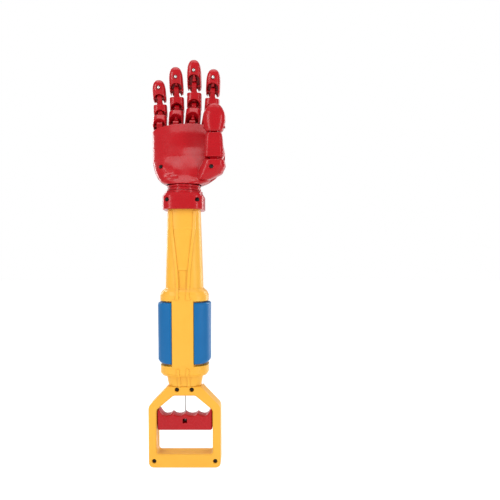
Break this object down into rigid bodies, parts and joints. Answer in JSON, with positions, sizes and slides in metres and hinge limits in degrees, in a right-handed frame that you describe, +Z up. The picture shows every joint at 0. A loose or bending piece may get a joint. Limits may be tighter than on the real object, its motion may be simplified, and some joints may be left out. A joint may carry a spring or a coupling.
{
  "type": "trigger operated toy robot hand grabber",
  "caption": "Hand-held toy grabber: a trigger in a D-shaped handle pulls a cable through a forearm and curls a jointed robot hand.",
  "frame": {"origin": "middle of the flat outer face of the bar at the bottom of the handle", "axes": "+Z up the arm to the fingertips, -Y the way the palm faces, +X the thumb's side"},
  "size_m": [0.0848, 0.084, 0.4527],
  "materials": {
    "red_plastic": "glossy moulded red",
    "yellow_plastic": "satin moulded yellow",
    "blue_plastic": "satin moulded blue",
    "label": "printed film, no text",
    "steel": "plated",
    "cable_steel": "drawn wire"
  },
  "bodies": {
    "arm": {"collar_screw_1": "steel", "collar_screw_2": "steel", "forearm_back": "yellow_plastic", "forearm_front": "yellow_plastic", "forearm_label": "label", "grip_left": "blue_plastic", "grip_right": "blue_plastic", "handle_back": "yellow_plastic", "handle_front": "yellow_plastic", "handle_screw_1": "steel", "handle_screw_2": "steel", "handle_screw_3": "steel", "handle_screw_4": "steel", "return_spring": "cable_steel", "wrist_collar_back": "red_plastic", "wrist_collar_front": "red_plastic"},
    "trigger_unit": {"trigger": "red_plastic", "pull_cable": "cable_steel", "cord_yoke": "yellow_plastic", "finger_cords": "cable_steel"},
    "hand": {"wrist_neck": "red_plastic", "palm_front": "red_plastic", "palm_back": "red_plastic", "palm_screw_1": "steel", "palm_screw_2": "steel", "knuckle_bar": "red_plastic"},
    "index_proximal_link": {"index_proximal": "red_plastic", "pin_index_proximal": "steel"},
    "index_middle_link": {"index_middle": "red_plastic", "pin_index_middle": "steel"},
    "index_distal_link": {"index_distal": "red_plastic", "pin_index_distal": "steel", "tip_screw_index": "steel"},
    "middle_proximal_link": {"middle_proximal": "red_plastic", "pin_middle_proximal": "steel"},
    "middle_middle_link": {"middle_middle": "red_plastic", "pin_middle_middle": "steel"},
    "middle_distal_link": {"middle_distal": "red_plastic", "pin_middle_distal": "steel", "tip_screw_middle": "steel"},
    "ring_proximal_link": {"ring_proximal": "red_plastic", "pin_ring_proximal": "steel"},
    "ring_middle_link": {"ring_middle": "red_plastic", "pin_ring_middle": "steel"},
    "ring_distal_link": {"ring_distal": "red_plastic", "pin_ring_distal": "steel", "tip_screw_ring": "steel"},
    "little_proximal_link": {"little_proximal": "red_plastic", "pin_little_proximal": "steel"},
    "little_middle_link": {"little_middle": "red_plastic", "pin_little_middle": "steel"},
    "little_distal_link": {"little_distal": "red_plastic", "pin_little_distal": "steel", "tip_screw_little": "steel"},
    "thumb_proximal_link": {"thumb_proximal": "red_plastic", "pin_thumb_proximal": "steel"},
    "thumb_distal_link": {"thumb_distal": "red_plastic", "pin_thumb_distal": "steel"}
  },
  "joints": [
    {"name": "trigger_slide", "type": "slide", "parent": "arm", "child": "trigger_unit", "axis": [0, 0, -1], "range_m": [0, 0.018], "stiffness_N_per_m": 260, "springref_m": -0.012, "deforming": ["return_spring", "finger_cords"]},
    {"name": "wrist_swivel", "type": "hinge", "parent": "arm", "child": "hand", "pos_m": [0, 0, 0.2856], "axis": [0, 0, 1], "range_deg": [-90, 90]},
    {"name": "index_knuckle", "type": "hinge", "parent": "hand", "child": "index_proximal_link", "pos_m": [0.0245, 0.03289, 0.37541], "axis": [0.9969, -0.0294, -0.0727], "range_deg": [0, 49]},
    {"name": "index_mid_joint", "type": "hinge", "parent": "index_proximal_link", "child": "index_middle_link", "pos_m": [0.02639, 0.04791, 0.3953], "axis": [0.9969, -0.0294, -0.0727], "range_deg": [0, 43]},
    {"name": "index_tip_joint", "type": "hinge", "parent": "index_middle_link", "child": "index_distal_link", "pos_m": [0.02798, 0.04863, 0.41673], "axis": [0.9969, -0.0294, -0.0727], "range_deg": [0, 29]},
    {"name": "middle_knuckle", "type": "hinge", "parent": "hand", "child": "middle_proximal_link", "pos_m": [0.006, 0.03323, 0.37624], "axis": [1, -0.0033, -0.0081], "range_deg": [0, 56]},
    {"name": "middle_mid_joint", "type": "hinge", "parent": "middle_proximal_link", "child": "middle_middle_link", "pos_m": [0.00626, 0.05158, 0.4006], "axis": [1, -0.0033, -0.0081], "range_deg": [0, 46]},
    {"name": "middle_tip_joint", "type": "hinge", "parent": "middle_middle_link", "child": "middle_distal_link", "pos_m": [0.00645, 0.0524, 0.42408], "axis": [1, -0.0033, -0.0081], "range_deg": [0, 36]},
    {"name": "ring_knuckle", "type": "hinge", "parent": "hand", "child": "ring_proximal_link", "pos_m": [-0.0125, 0.03297, 0.37559], "axis": [0.9997, 0.0098, 0.0243], "range_deg": [0, 56]},
    {"name": "ring_mid_joint", "type": "hinge", "parent": "ring_proximal_link", "child": "ring_middle_link", "pos_m": [-0.01319, 0.04933, 0.39731], "axis": [0.9997, 0.0098, 0.0243], "range_deg": [0, 46]},
    {"name": "ring_tip_joint", "type": "hinge", "parent": "ring_middle_link", "child": "ring_distal_link", "pos_m": [-0.01371, 0.05007, 0.41849], "axis": [0.9997, 0.0098, 0.0243], "range_deg": [0, 36]},
    {"name": "little_knuckle", "type": "hinge", "parent": "hand", "child": "little_proximal_link", "pos_m": [-0.0305, 0.03225, 0.37383], "axis": [0.9986, 0.0196, 0.0485], "range_deg": [0, 56]},
    {"name": "little_mid_joint", "type": "hinge", "parent": "little_proximal_link", "child": "little_middle_link", "pos_m": [-0.0316, 0.04536, 0.39121], "axis": [0.9986, 0.0196, 0.0485], "range_deg": [0, 46]},
    {"name": "little_tip_joint", "type": "hinge", "parent": "little_middle_link", "child": "little_distal_link", "pos_m": [-0.03247, 0.04597, 0.40888], "axis": [0.9986, 0.0196, 0.0485], "range_deg": [0, 36]},
    {"name": "thumb_root", "type": "hinge", "parent": "hand", "child": "thumb_proximal_link", "pos_m": [0.0325, -0.00603, 0.33753], "axis": [-1, 0, 0], "range_deg": [0, 11]},
    {"name": "thumb_joint", "type": "hinge", "parent": "thumb_proximal_link", "child": "thumb_distal_link", "pos_m": [0.0325, -0.00228, 0.36427], "axis": [-1, 0, 0], "range_deg": [0, 13]}
  ],
  "couplings": [
    {"joint": "index_knuckle", "follows": "trigger_slide", "rad_per_m": 46.542},
    {"joint": "index_mid_joint", "follows": "trigger_slide", "rad_per_m": 40.724},
    {"joint": "index_tip_joint", "follows": "trigger_slide", "rad_per_m": 27.15},
    {"joint": "middle_knuckle", "follows": "trigger_slide", "rad_per_m": 53.33},
    {"joint": "middle_mid_joint", "follows": "trigger_slide", "rad_per_m": 43.633},
    {"joint": "middle_tip_joint", "follows": "trigger_slide", "rad_per_m": 33.937},
    {"joint": "ring_knuckle", "follows": "trigger_slide", "rad_per_m": 53.33},
    {"joint": "ring_mid_joint", "follows": "trigger_slide", "rad_per_m": 43.633},
    {"joint": "ring_tip_joint", "follows": "trigger_slide", "rad_per_m": 33.937},
    {"joint": "little_knuckle", "follows": "trigger_slide", "rad_per_m": 53.33},
    {"joint": "little_mid_joint", "follows": "trigger_slide", "rad_per_m": 43.633},
    {"joint": "little_tip_joint", "follows": "trigger_slide", "rad_per_m": 33.937},
    {"joint": "thumb_root", "follows": "trigger_slide", "rad_per_m": 9.6963},
    {"joint": "thumb_joint", "follows": "trigger_slide", "rad_per_m": 11.636}
  ]
}
